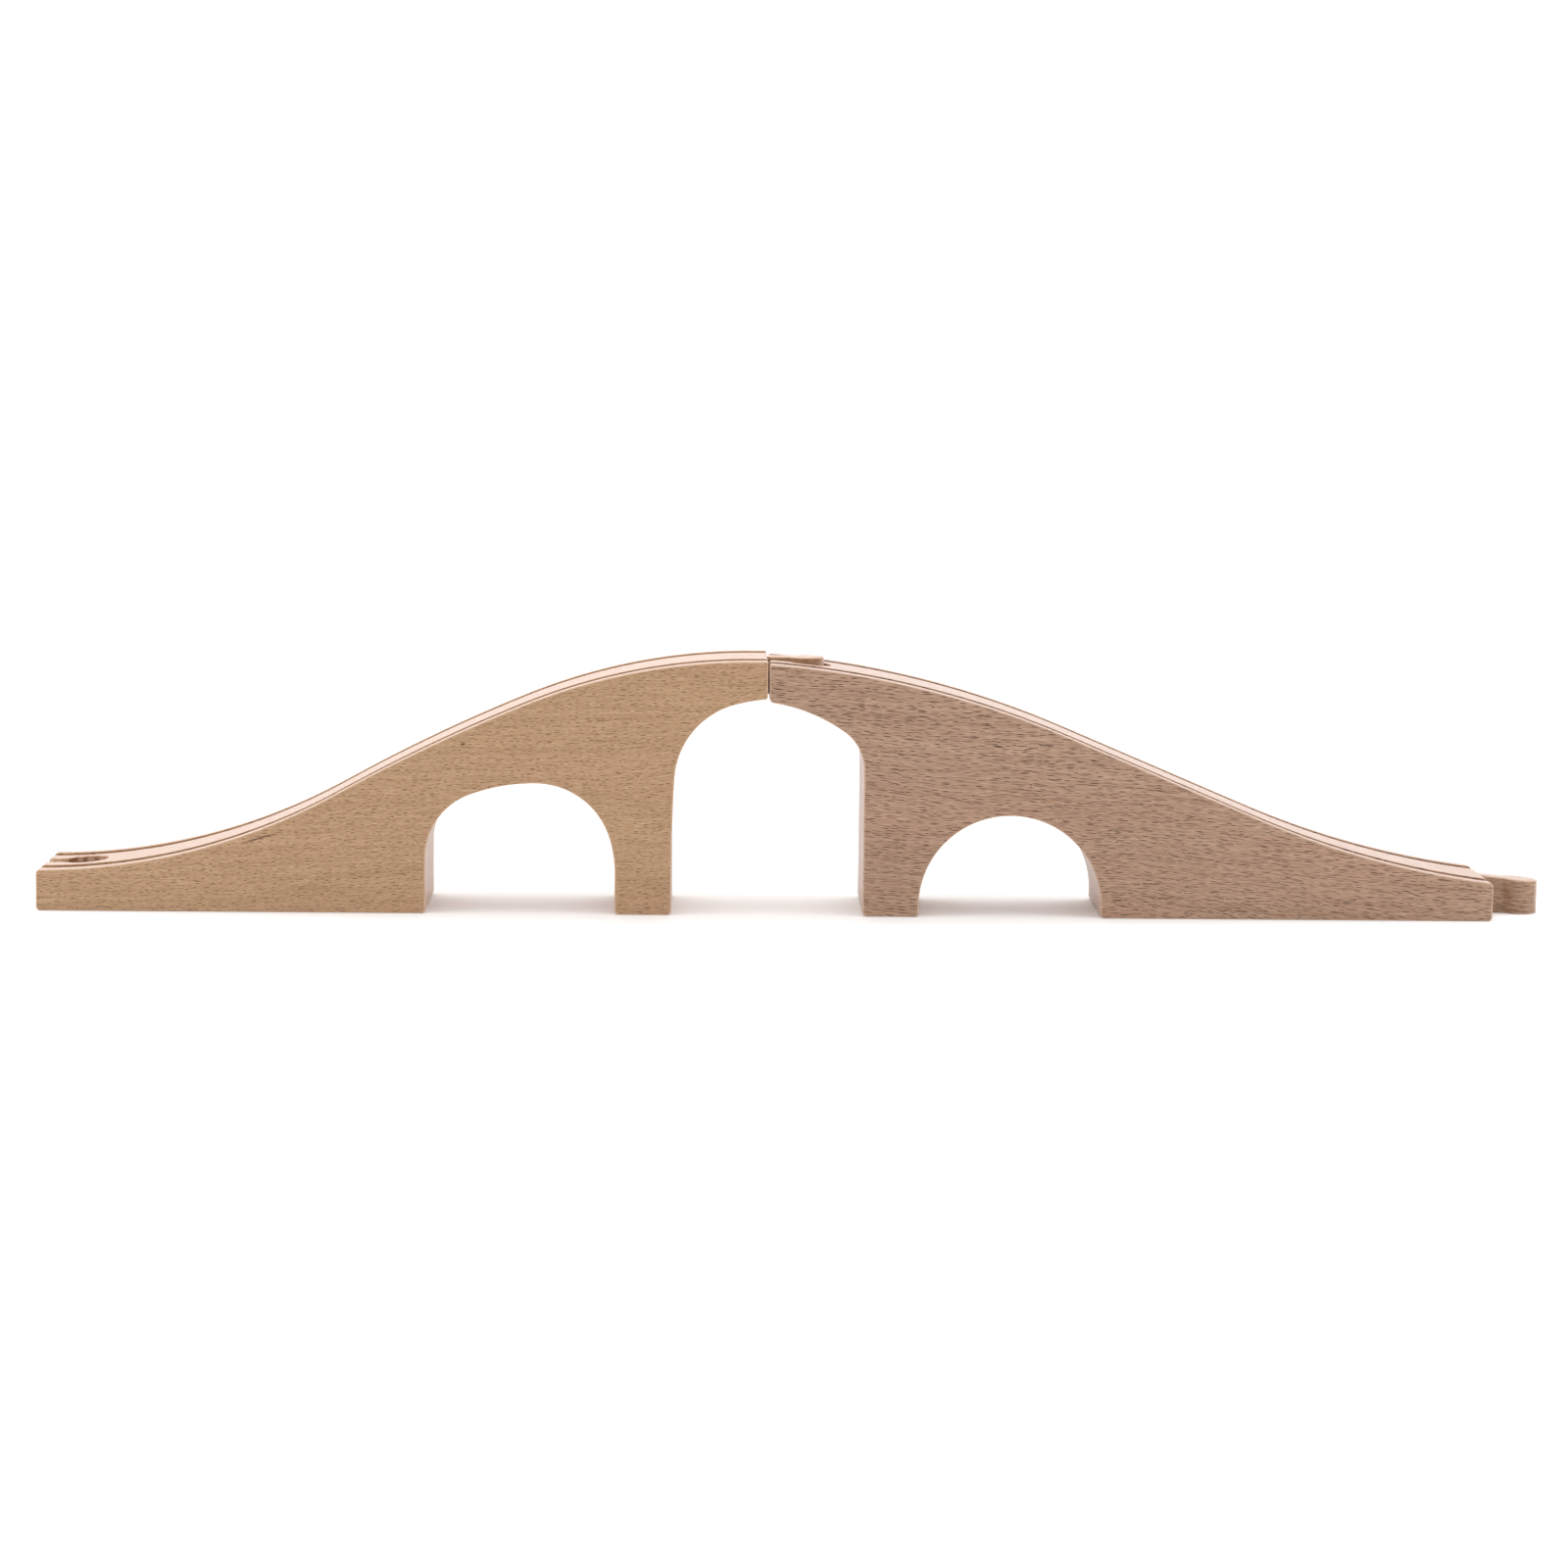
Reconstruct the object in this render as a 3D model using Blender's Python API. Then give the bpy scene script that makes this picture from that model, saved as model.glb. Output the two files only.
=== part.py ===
"""Wooden toy-railway arch bridge: two beech half spans joined at the crest by a peg and socket.

Metres, +Z up. +X runs along the track, +Y across it. The origin is on the ground, at the
centre of the whole bridge's length and width. Each half span is drawn in its own side view,
where d is the distance from its low end and z the height, and is then put in place: the left
span as drawn, the right span mirrored.
"""

import math

import bmesh
import bpy
from mathutils import Matrix

MM = 0.001

# The whole bridge
SPAN_LENGTH = 216.0 * MM
WIDTH = 40.0 * MM
JOINT_GAP = 0.4 * MM            # between the two crest end faces
GLUE_GAP = 0.3 * MM             # between a connector's tongue and its slot

# Track gauge: rim, groove, middle band, groove, rim
GROOVE_WIDTH = 6.0 * MM
GROOVE_CENTRE = 13.0 * MM       # from the track's centre line
GROOVE_DEPTH = 3.0 * MM

# Male connector: tongue in the block, neck and round head outside it
HEAD_RADIUS = 5.6 * MM
HEAD_CENTRE = 11.3 * MM         # from the end face
NECK_HALF_WIDTH = 3.0 * MM
NECK_FILLET = 1.5 * MM
TONGUE_LENGTH = 16.0 * MM
PEG_REACH = HEAD_CENTRE + HEAD_RADIUS

# Female connector: round hole behind a slot with a rounded mouth
SOCKET_RADIUS = 6.7 * MM
SOCKET_CENTRE = 11.8 * MM       # from the end face
SLOT_HALF_WIDTH = 3.7 * MM
MOUTH_RADIUS = 2.5 * MM

# Side views. A roof or a deck is a list of tangent arcs: radius, heading that it turns to
LEFT_LOW_THICKNESS = 12.2 * MM
LEFT_FOOT = 115.0 * MM          # length of the long low foot
LEFT_ARCH_WALL = 16.6 * MM      # straight wall below the small arch's roof
LEFT_ARCH_ROOF = ((20.1 * MM, 20.7), (55.0 * MM, 0.0), (23.0 * MM, -73.3), (37.2 * MM, -90.0))
LEFT_LEG = 16.8 * MM
LEFT_LEG_WALL = 18.8 * MM       # straight wall below the tall arch
LEFT_TALL_CORNER = ((307.0 * MM, 85.8), (24.1 * MM, 15.0))
LEFT_TALL_RADIUS = 56.0 * MM    # rises all the way to the crest end face
LEFT_DECK_START = (181.5 * MM, 28.9)
LEFT_DECK_RAMP = 6.0 * MM       # the steepest, straight part of the climb
LEFT_DECK_CREST = ((506.0 * MM, 22.5), (177.5 * MM, 0.0))

RIGHT_LOW_THICKNESS = 11.4 * MM
RIGHT_LOW_SLOPE = 6.8           # degrees, deck slope at the low end face
RIGHT_FOOT = 116.9 * MM
RIGHT_ARCH_WALL = 3.3 * MM
RIGHT_ARCH_RADIUS = 27.1 * MM
RIGHT_LEG = 16.65 * MM
RIGHT_LEG_WALL = 43.4 * MM
RIGHT_TALL_CORNER = (14.2 * MM, 34.8)
RIGHT_TALL_RADIUS = 49.8 * MM
RIGHT_DECK_START = (261.0 * MM, 22.8)
RIGHT_DECK_RAMP = 61.0 * MM
RIGHT_DECK_CREST_RADIUS = 282.0 * MM

# Drawing
SAGITTA = 0.03 * MM             # how far a chord may lie inside its arc
OVERSHOOT = 2.0 * MM            # how far a cutter runs past the wood
CUT_HEIGHT = 100.0 * MM         # taller than the bridge

# The joint plane lies off the origin, because the foot peg lengthens the right side only
JOINT_X = -PEG_REACH / 2.0
LEFT_LOW_X = JOINT_X - JOINT_GAP / 2.0 - SPAN_LENGTH
LEFT_CREST_X = JOINT_X - JOINT_GAP / 2.0
RIGHT_CREST_X = JOINT_X + JOINT_GAP / 2.0
RIGHT_LOW_X = JOINT_X + JOINT_GAP / 2.0 + SPAN_LENGTH

# Linear base colour and roughness
WOODS = {
    "beech_left": ((0.60, 0.40, 0.23), 0.55),
    "beech_right": ((0.50, 0.32, 0.21), 0.58),
}


class Pen:
    """Draws a path of straight runs and tangent arcs. Headings are in degrees, +X is 0."""

    def __init__(self, x, y, heading):
        self.x = x
        self.y = y
        self.heading = heading
        self.points = [(x, y)]

    def move(self, x, y):
        self.x = x
        self.y = y
        self.points.append((x, y))

    def turn(self, heading):
        self.heading = heading

    def run(self, length):
        angle = math.radians(self.heading)
        self.move(self.x + length * math.cos(angle), self.y + length * math.sin(angle))

    def run_to_x(self, x):
        self.run((x - self.x) / math.cos(math.radians(self.heading)))

    def run_to_y(self, y):
        self.run((y - self.y) / math.sin(math.radians(self.heading)))

    def arc(self, radius, heading):
        """Turns to the new heading, left if it is the larger one and right if the smaller."""
        side = 1.0 if heading > self.heading else -1.0
        first = math.radians(self.heading)
        sweep = math.radians(heading) - first
        centre_x = self.x - side * radius * math.sin(first)
        centre_y = self.y + side * radius * math.cos(first)
        step = 2.0 * math.acos(1.0 - SAGITTA / radius)
        count = max(2, math.ceil(abs(sweep) / step))
        for i in range(1, count + 1):
            angle = first + sweep * i / count
            self.move(
                centre_x + side * radius * math.sin(angle),
                centre_y - side * radius * math.cos(angle),
            )
        self.heading = heading

    def arcs(self, pairs):
        for radius, heading in pairs:
            self.arc(radius, heading)

    def arc_to_x(self, radius, x, side):
        """An arc that ends at a given x; side is 1 for a left turn, -1 for a right turn."""
        sine = math.sin(math.radians(self.heading)) + side * (x - self.x) / radius
        self.arc(radius, math.degrees(math.asin(sine)))


def left_underside(end):
    """Foot, small arch, leg and half of the tall arch, from the low end to d = end."""
    pen = Pen(0.0, 0.0, 0.0)
    pen.run(LEFT_FOOT)
    pen.turn(90.0)
    pen.run(LEFT_ARCH_WALL)
    pen.arcs(LEFT_ARCH_ROOF)
    pen.run_to_y(0.0)
    pen.turn(0.0)
    pen.run(LEFT_LEG)
    pen.turn(90.0)
    pen.run(LEFT_LEG_WALL)
    pen.arcs(LEFT_TALL_CORNER)
    pen.arc_to_x(LEFT_TALL_RADIUS, SPAN_LENGTH, -1.0)
    if end > SPAN_LENGTH:
        pen.turn(0.0)
        pen.run_to_x(end)
    return pen.points


def left_deck(end):
    """The climbing deck, from the low end to d = end, level at the crest."""
    pen = Pen(0.0, LEFT_LOW_THICKNESS, 0.0)
    pen.arc(*LEFT_DECK_START)
    pen.run(LEFT_DECK_RAMP)
    pen.arcs(LEFT_DECK_CREST)
    pen.run_to_x(end)
    return pen.points


def right_underside(start):
    """As the left span's, with a round small arch and a tall arch that falls at the crest."""
    pen = Pen(start, 0.0, 0.0)
    pen.run_to_x(RIGHT_FOOT)
    pen.turn(90.0)
    pen.run(RIGHT_ARCH_WALL)
    pen.arc(RIGHT_ARCH_RADIUS, -90.0)
    pen.run_to_y(0.0)
    pen.turn(0.0)
    pen.run(RIGHT_LEG)
    pen.turn(90.0)
    pen.run(RIGHT_LEG_WALL)
    pen.arc(*RIGHT_TALL_CORNER)
    pen.arc_to_x(RIGHT_TALL_RADIUS, SPAN_LENGTH, -1.0)
    return pen.points


def right_deck(start):
    """The deck from d = start, which is below zero where the foot peg carries the curve on."""
    radius, ramp_heading = RIGHT_DECK_START
    slope = math.radians(RIGHT_LOW_SLOPE)
    first_slope = math.asin(math.sin(slope) + start / radius)
    drop = radius * (math.cos(first_slope) - math.cos(slope))
    pen = Pen(start, RIGHT_LOW_THICKNESS - drop, math.degrees(first_slope))
    pen.arc(radius, ramp_heading)
    pen.run(RIGHT_DECK_RAMP)
    pen.arc_to_x(RIGHT_DECK_CREST_RADIUS, SPAN_LENGTH, -1.0)
    return pen.points


def offset(points, distance):
    """The path moved to its left by a distance, with its ends run on past the wood."""
    moved = []
    last = len(points) - 1
    for i, (x, y) in enumerate(points):
        ahead = points[min(i + 1, last)]
        behind = points[max(i - 1, 0)]
        run_x = ahead[0] - behind[0]
        run_y = ahead[1] - behind[1]
        length = math.hypot(run_x, run_y)
        moved.append((x - distance * run_y / length, y + distance * run_x / length))
    first = (moved[0][0] - OVERSHOOT, moved[0][1])
    end = (moved[-1][0] + OVERSHOOT, moved[-1][1])
    return [first] + moved + [end]


def mirrored(half):
    """A closed outline from its lower half, which starts and ends anywhere at y <= 0."""
    upper = [(x, -y) for x, y in reversed(half) if y < 0.0]
    return half + upper


def peg_outline(margin):
    """Plan of a connector with x out of the end face; margin widens it for its slot."""
    neck = NECK_HALF_WIDTH + margin
    reach = HEAD_RADIUS + NECK_FILLET
    fillet_drop = NECK_HALF_WIDTH + NECK_FILLET
    fillet_x = HEAD_CENTRE - math.sqrt(reach ** 2 - fillet_drop ** 2)
    meeting = -math.degrees(math.acos(fillet_drop / reach))
    pen = Pen(-TONGUE_LENGTH - margin, 0.0, -90.0)
    pen.arc(neck, 0.0)
    if margin > 0.0:
        pen.run_to_x(OVERSHOOT)
        return mirrored(pen.points)
    pen.run_to_x(fillet_x)
    pen.arc(NECK_FILLET, meeting)
    pen.arc(HEAD_RADIUS, 90.0)
    return mirrored(pen.points)


def socket_outline():
    """Plan of the keyhole with x into the wood from the end face."""
    inset = math.sqrt(SOCKET_RADIUS ** 2 - SLOT_HALF_WIDTH ** 2)
    corner = math.degrees(math.atan2(-SLOT_HALF_WIDTH, -inset))
    pen = Pen(-OVERSHOOT, -SLOT_HALF_WIDTH - MOUTH_RADIUS, 0.0)
    pen.run_to_x(0.0)
    pen.turn(90.0)
    pen.arc(MOUTH_RADIUS, 0.0)
    pen.run_to_x(SOCKET_CENTRE - inset)
    pen.turn(corner + 90.0)
    pen.arc(SOCKET_RADIUS, 90.0)
    return mirrored(pen.points)


def make_collection(name):
    collection = bpy.data.collections.new(name)
    bpy.context.scene.collection.children.link(collection)
    return collection


def prism(name, outline, thickness, place, collection):
    """A flat outline, filled and extruded evenly both ways, as one welded mesh object."""
    curve = bpy.data.curves.new(name, "CURVE")
    curve.dimensions = "2D"
    curve.fill_mode = "BOTH"
    curve.extrude = thickness / 2.0
    spline = curve.splines.new("POLY")
    spline.points.add(len(outline) - 1)
    for point, (x, y) in zip(spline.points, outline):
        point.co = (x, y, 0.0, 1.0)
    spline.use_cyclic_u = True
    drawn = bpy.data.objects.new(name + "_curve", curve)
    collection.objects.link(drawn)
    drawn.matrix_world = place
    bpy.context.view_layer.update()
    graph = bpy.context.evaluated_depsgraph_get()
    mesh = bpy.data.meshes.new_from_object(drawn.evaluated_get(graph))
    work = bmesh.new()
    work.from_mesh(mesh)
    bmesh.ops.remove_doubles(work, verts=work.verts, dist=0.001 * MM)
    if place.determinant() < 0.0:
        bmesh.ops.reverse_faces(work, faces=work.faces)
    work.to_mesh(mesh)
    work.free()
    mesh.name = name
    solid = bpy.data.objects.new(name, mesh)
    collection.objects.link(solid)
    mesh.transform(drawn.matrix_world)
    bpy.data.objects.remove(drawn)
    bpy.data.curves.remove(curve)
    return solid


def upright(low_x, direction):
    """Places a side view: d runs along direction from low_x, z up, centred on y = 0."""
    stand = Matrix.Rotation(math.radians(90.0), 4, "X")
    mirror = Matrix.Diagonal((direction, 1.0, 1.0, 1.0))
    return Matrix.Translation((low_x, 0.0, 0.0)) @ mirror @ stand


def in_plan(end_x):
    """Places a plan view at an end face, tall enough to pass through the whole bridge."""
    return Matrix.Translation((end_x, 0.0, CUT_HEIGHT / 2.0 - OVERSHOOT))


def boolean(target, tool, operation):
    modifier = target.modifiers.new(tool.name, "BOOLEAN")
    modifier.operation = operation
    modifier.solver = "EXACT"
    modifier.object = tool
    tool.hide_render = True
    tool.display_type = "WIRE"


def cut_grooves(span, deck, place, cutters):
    """Two rail grooves that follow the deck at an even depth."""
    outline = offset(deck, -GROOVE_DEPTH) + offset(deck, GROOVE_DEPTH)[::-1]
    for across, label in ((-GROOVE_CENTRE, "front"), (GROOVE_CENTRE, "back")):
        groove_place = Matrix.Translation((0.0, across, 0.0)) @ place
        groove = prism(f"{span.name}_{label}_groove", outline, GROOVE_WIDTH, groove_place, cutters)
        boolean(span, groove, "DIFFERENCE")


def cut_socket(span, end_x, cutters):
    """The keyhole, which opens towards -X on both spans."""
    socket = prism(f"{span.name}_socket", socket_outline(), CUT_HEIGHT, in_plan(end_x), cutters)
    boolean(span, socket, "DIFFERENCE")


def make_span(name, under, deck, place, socket_x, parts, cutters):
    """A block between its underside and its deck, with its rail grooves and its socket."""
    span = prism(name, under + deck[::-1], WIDTH, place, parts)
    cut_grooves(span, deck, place, cutters)
    cut_socket(span, socket_x, cutters)
    return span


def make_peg(name, span, end_x, side_view, side_place, parts, cutters):
    """A connector cut to its own span's side view, and the slot that its tongue sits in."""
    place = in_plan(end_x)
    peg = prism(name, peg_outline(0.0), CUT_HEIGHT, place, parts)
    shape = prism(f"{name}_side_view", side_view, WIDTH, side_place, cutters)
    boolean(peg, shape, "INTERSECT")
    slot = prism(f"{name}_slot", peg_outline(GLUE_GAP), CUT_HEIGHT, place, cutters)
    boolean(span, slot, "DIFFERENCE")
    return peg


def make_material(name):
    colour, roughness = WOODS[name]
    material = bpy.data.materials.new(name)
    material.use_nodes = True
    shader = material.node_tree.nodes["Principled BSDF"]
    shader.inputs["Base Color"].default_value = (*colour, 1.0)
    shader.inputs["Roughness"].default_value = roughness
    shader.inputs["Metallic"].default_value = 0.0
    return material


def finish(piece, material):
    """Gives a piece its wood, with its curved faces shaded smooth."""
    piece.data.materials.clear()
    piece.data.materials.append(material)
    piece.data.shade_smooth()
    piece.data.set_sharp_from_angle(angle=math.radians(30.0))


def main():
    for old in list(bpy.data.objects):
        bpy.data.objects.remove(old)
    parts = make_collection("toy_railway_bridge")
    cutters = make_collection("cutters")

    left_place = upright(LEFT_LOW_X, 1.0)
    left_span = make_span(
        "left_span", left_underside(SPAN_LENGTH), left_deck(SPAN_LENGTH),
        left_place, LEFT_LOW_X, parts, cutters,
    )
    peg_end = SPAN_LENGTH + PEG_REACH
    summit_view = left_underside(peg_end) + left_deck(peg_end)[::-1]
    summit_peg = make_peg(
        "summit_peg", left_span, LEFT_CREST_X, summit_view, left_place, parts, cutters,
    )

    right_place = upright(RIGHT_LOW_X, -1.0)
    right_span = make_span(
        "right_span", right_underside(0.0), right_deck(0.0),
        right_place, RIGHT_CREST_X, parts, cutters,
    )
    foot_view = right_underside(-PEG_REACH) + right_deck(-PEG_REACH)[::-1]
    foot_peg = make_peg(
        "foot_peg", right_span, RIGHT_LOW_X, foot_view, right_place, parts, cutters,
    )

    left_wood = make_material("beech_left")
    right_wood = make_material("beech_right")
    for piece in (left_span, summit_peg):
        finish(piece, left_wood)
    for piece in (right_span, foot_peg):
        finish(piece, right_wood)


main()
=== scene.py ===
"""Looks of the wooden toy-railway arch bridge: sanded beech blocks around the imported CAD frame.

Each of the four CAD solids is replaced by a fine mesh of the same size, with rounded edges and
its own cut of beech. A span is a loft: its side-view outline goes round the block, and a section
with rims, grooves and middle band runs across it. In a side view d is the distance from the
span's low end and z the height. Lengths are in metres, angles in degrees.
"""

import math

import bmesh
import bpy
from mathutils import Matrix, Vector


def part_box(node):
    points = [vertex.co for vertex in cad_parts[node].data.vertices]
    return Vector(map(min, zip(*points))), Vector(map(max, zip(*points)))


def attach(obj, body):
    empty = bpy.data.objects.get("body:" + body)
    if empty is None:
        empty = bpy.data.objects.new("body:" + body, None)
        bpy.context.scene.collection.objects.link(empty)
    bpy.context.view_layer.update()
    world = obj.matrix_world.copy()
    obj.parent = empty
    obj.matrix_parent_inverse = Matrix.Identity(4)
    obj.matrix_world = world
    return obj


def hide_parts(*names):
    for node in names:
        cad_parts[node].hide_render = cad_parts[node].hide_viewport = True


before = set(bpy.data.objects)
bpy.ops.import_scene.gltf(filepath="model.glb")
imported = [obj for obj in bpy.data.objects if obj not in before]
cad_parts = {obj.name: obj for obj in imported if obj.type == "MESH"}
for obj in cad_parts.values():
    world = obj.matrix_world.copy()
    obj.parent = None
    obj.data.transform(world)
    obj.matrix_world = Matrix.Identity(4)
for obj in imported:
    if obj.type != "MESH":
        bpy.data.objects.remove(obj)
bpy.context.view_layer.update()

MM = 0.001

# Side views, as the CAD draws them. Arcs are given as radius, heading that they turn to
LEFT_LOW_THICKNESS = 12.2 * MM
LEFT_FOOT = 115.0 * MM
LEFT_ARCH_WALL = 16.6 * MM
LEFT_ARCH_ROOF = ((20.1 * MM, 20.7), (55.0 * MM, 0.0), (23.0 * MM, -73.3), (37.2 * MM, -90.0))
LEFT_LEG = 16.8 * MM
LEFT_LEG_WALL = 18.8 * MM
LEFT_TALL_CORNER = ((307.0 * MM, 85.8), (24.1 * MM, 15.0))
LEFT_TALL_RADIUS = 56.0 * MM
LEFT_DECK_START = (181.5 * MM, 28.9)
LEFT_DECK_RAMP = 6.0 * MM
LEFT_DECK_CREST = ((506.0 * MM, 22.5), (177.5 * MM, 0.0))

RIGHT_LOW_THICKNESS = 11.4 * MM
RIGHT_LOW_SLOPE = 6.8
RIGHT_FOOT = 116.9 * MM
RIGHT_ARCH_WALL = 3.3 * MM
RIGHT_ARCH_RADIUS = 27.1 * MM
RIGHT_LEG = 16.65 * MM
RIGHT_LEG_WALL = 43.4 * MM
RIGHT_TALL_CORNER = (14.2 * MM, 34.8)
RIGHT_TALL_RADIUS = 49.8 * MM
RIGHT_DECK_START = (261.0 * MM, 22.8)
RIGHT_DECK_RAMP = 61.0 * MM
RIGHT_DECK_CREST_RADIUS = 282.0 * MM

# Section across the track
GROOVE_OUTER = 16.0 * MM        # the grooves' walls, from the track's centre line
GROOVE_INNER = 10.0 * MM
GROOVE_DEPTH = 3.0 * MM
SIDE_ROUND = 0.5 * MM           # sanded edges
RIM_ROUND = 0.18 * MM
FLOOR_ROUND = 0.35 * MM
WALL_DRAFT = 0.05 * MM          # how far a groove's walls lean
# Radii of the side view's corners, from the low end's foot round by the crest to the deck
LEFT_CORNERS = (1.3 * MM, 1.3 * MM, 1.3 * MM, 1.3 * MM, 0.8 * MM, 0.7 * MM, 1.2 * MM)
RIGHT_CORNERS = (1.3 * MM, 1.2 * MM, 1.2 * MM, 1.5 * MM, 1.5 * MM, 0.9 * MM, 1.2 * MM)

# Connectors
HEAD_RADIUS = 5.6 * MM
HEAD_CENTRE = 11.3 * MM
NECK_HALF_WIDTH = 3.0 * MM
NECK_FILLET = 1.5 * MM
TONGUE_LENGTH = 16.0 * MM
PEG_REACH = HEAD_CENTRE + HEAD_RADIUS
PEG_ROUND = 0.5 * MM
FLUSH_ROUND = 0.1               # share of that rounding left inside the block
FACE_BLEND = 0.5 * MM           # each side of the end face, where the rounding grows
GLUE_LINE = 0.05 * MM
SOCKET_RADIUS = 6.7 * MM
SOCKET_CENTRE = 11.8 * MM
SLOT_HALF_WIDTH = 3.7 * MM
SOCKET_INSET = math.sqrt(SOCKET_RADIUS ** 2 - SLOT_HALF_WIDTH ** 2)
SLOT_LENGTH = SOCKET_CENTRE - SOCKET_INSET
MOUTH_RADIUS = 2.5 * MM
SOCKET_ROUND = 0.4 * MM
OVERSHOOT = 2.0 * MM            # how far a cutter's plan runs past the end face
CUTTER_REACH = 4.0 * MM         # how far a cutter stands out above and below the wood

# Meshing
SAGITTA = 0.008 * MM            # how far a chord may lie inside its arc
STRAIGHT_STEP = 1.0 * MM        # along a straight run that lies under a curved deck
ROUND_STEPS = 5                 # faces across a sanded edge
WEAR_HIGHLIGHT = (0.0, 0.6, 1.0, 1.0, 0.6, 0.0)       # edge wear and painted highlight at a rounding's points
PEG_WEAR_HIGHLIGHT = (0.0, 0.7, 1.0, 0.7, 0.0)
RIM_ANGLES = (14.0, 33.0, 52.0, 71.0, 90.0)     # points round a hole's rim
SHARP = math.radians(40.0)      # a turn in the side view that counts as a corner
SMOOTH = math.radians(38.0)     # faces that meet at less than this are shaded as one
SIDE_FACING = 0.9999            # a normal this much along y belongs to a flat side

# Wood figure: sizes along the grain, across the track and up the side
BEND_SIZE = (60 * MM, 40 * MM, 35 * MM)
BEND_LIFT = 9.0 * MM            # how far the grain wanders
PATCH_SIZE = (70 * MM, 25 * MM, 11 * MM)
STREAK_SIZE = (50 * MM, 2.6 * MM, 1.3 * MM)
FIBRE_SIZE = (5 * MM, 0.34 * MM, 0.26 * MM)
RAY_DEPTH = 14.0 * MM           # a ray's reach into the wood, across the track
RELIEF = 0.025 * MM


def smoothstep(low, high, x):
    t = min(1.0, max(0.0, (x - low) / (high - low)))
    return t * t * (3.0 - 2.0 * t)


# ---------------------------------------------------------------- outlines

class Pen:
    """Draws a path of straight runs and tangent arcs. Heading 0 is along x, 90 along y."""

    def __init__(self, x, y, heading):
        self.x = x
        self.y = y
        self.heading = heading
        self.points = [Vector((x, y))]

    def move(self, x, y):
        self.x = x
        self.y = y
        self.points.append(Vector((x, y)))

    def turn(self, heading):
        self.heading = heading

    def run(self, length, step=None):
        count = max(1, math.ceil(length / step)) if step else 1
        angle = math.radians(self.heading)
        for _ in range(count):
            part = length / count
            self.move(self.x + part * math.cos(angle), self.y + part * math.sin(angle))

    def run_to_x(self, x, step=None):
        self.run((x - self.x) / math.cos(math.radians(self.heading)), step)

    def run_to_y(self, y):
        self.run((y - self.y) / math.sin(math.radians(self.heading)))

    def arc(self, radius, heading):
        """Turns to the new heading, left if it is the larger one and right if the smaller."""
        side = 1.0 if heading > self.heading else -1.0
        first = math.radians(self.heading)
        sweep = math.radians(heading) - first
        centre_x = self.x - side * radius * math.sin(first)
        centre_y = self.y + side * radius * math.cos(first)
        step = 2.0 * math.acos(1.0 - SAGITTA / radius)
        count = max(2, math.ceil(abs(sweep) / step))
        for i in range(1, count + 1):
            angle = first + sweep * i / count
            self.move(
                centre_x + side * radius * math.sin(angle),
                centre_y - side * radius * math.cos(angle),
            )
        self.heading = heading

    def arcs(self, pairs):
        for radius, heading in pairs:
            self.arc(radius, heading)

    def arc_to_x(self, radius, x, side):
        sine = math.sin(math.radians(self.heading)) + side * (x - self.x) / radius
        self.arc(radius, math.degrees(math.asin(sine)))


def left_underside(crest, end):
    pen = Pen(0.0, 0.0, 0.0)
    pen.run(LEFT_FOOT)
    pen.turn(90.0)
    pen.run(LEFT_ARCH_WALL)
    pen.arcs(LEFT_ARCH_ROOF)
    pen.run_to_y(0.0)
    pen.turn(0.0)
    pen.run(LEFT_LEG)
    pen.turn(90.0)
    pen.run(LEFT_LEG_WALL)
    pen.arcs(LEFT_TALL_CORNER)
    pen.arc_to_x(LEFT_TALL_RADIUS, crest, -1.0)
    if end > crest:
        pen.turn(0.0)
        pen.run_to_x(end)
    return pen.points


def left_deck(end):
    pen = Pen(0.0, LEFT_LOW_THICKNESS, 0.0)
    pen.arc(*LEFT_DECK_START)
    pen.run(LEFT_DECK_RAMP)
    pen.arcs(LEFT_DECK_CREST)
    pen.run_to_x(end)
    return pen.points


def right_underside(start, end):
    pen = Pen(start, 0.0, 0.0)
    pen.run_to_x(RIGHT_FOOT)
    pen.turn(90.0)
    pen.run(RIGHT_ARCH_WALL)
    pen.arc(RIGHT_ARCH_RADIUS, -90.0)
    pen.run_to_y(0.0)
    pen.turn(0.0)
    pen.run(RIGHT_LEG)
    pen.turn(90.0)
    pen.run(RIGHT_LEG_WALL)
    pen.arc(*RIGHT_TALL_CORNER)
    pen.arc_to_x(RIGHT_TALL_RADIUS, end, -1.0)
    return pen.points


def right_deck(start, end):
    radius, ramp_heading = RIGHT_DECK_START
    slope = math.radians(RIGHT_LOW_SLOPE)
    first_slope = math.asin(math.sin(slope) + start / radius)
    drop = radius * (math.cos(first_slope) - math.cos(slope))
    pen = Pen(start, RIGHT_LOW_THICKNESS - drop, math.degrees(first_slope))
    pen.arc(radius, ramp_heading)
    pen.run(RIGHT_DECK_RAMP)
    pen.arc_to_x(RIGHT_DECK_CREST_RADIUS, end, -1.0)
    return pen.points


def left_normal(direction):
    return Vector((-direction.y, direction.x))


def lowered(deck, depth):
    """The deck's path at an even depth below it, with the same points along it."""
    path = []
    last = len(deck) - 1
    for i, point in enumerate(deck):
        run = deck[min(i + 1, last)] - deck[max(i - 1, 0)]
        path.append(Vector((point.x, point.y - depth * run.length / run.x)))
    return path


def height_along(path, d):
    """The path's height at d, on its last stretch that passes there."""
    for a, b in zip(reversed(path[:-1]), reversed(path)):
        if a.x < b.x and a.x <= d <= b.x:
            return a.y + (b.y - a.y) * (d - a.x) / (b.x - a.x)
    return path[0].y if d < path[0].x else path[-1].y


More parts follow.
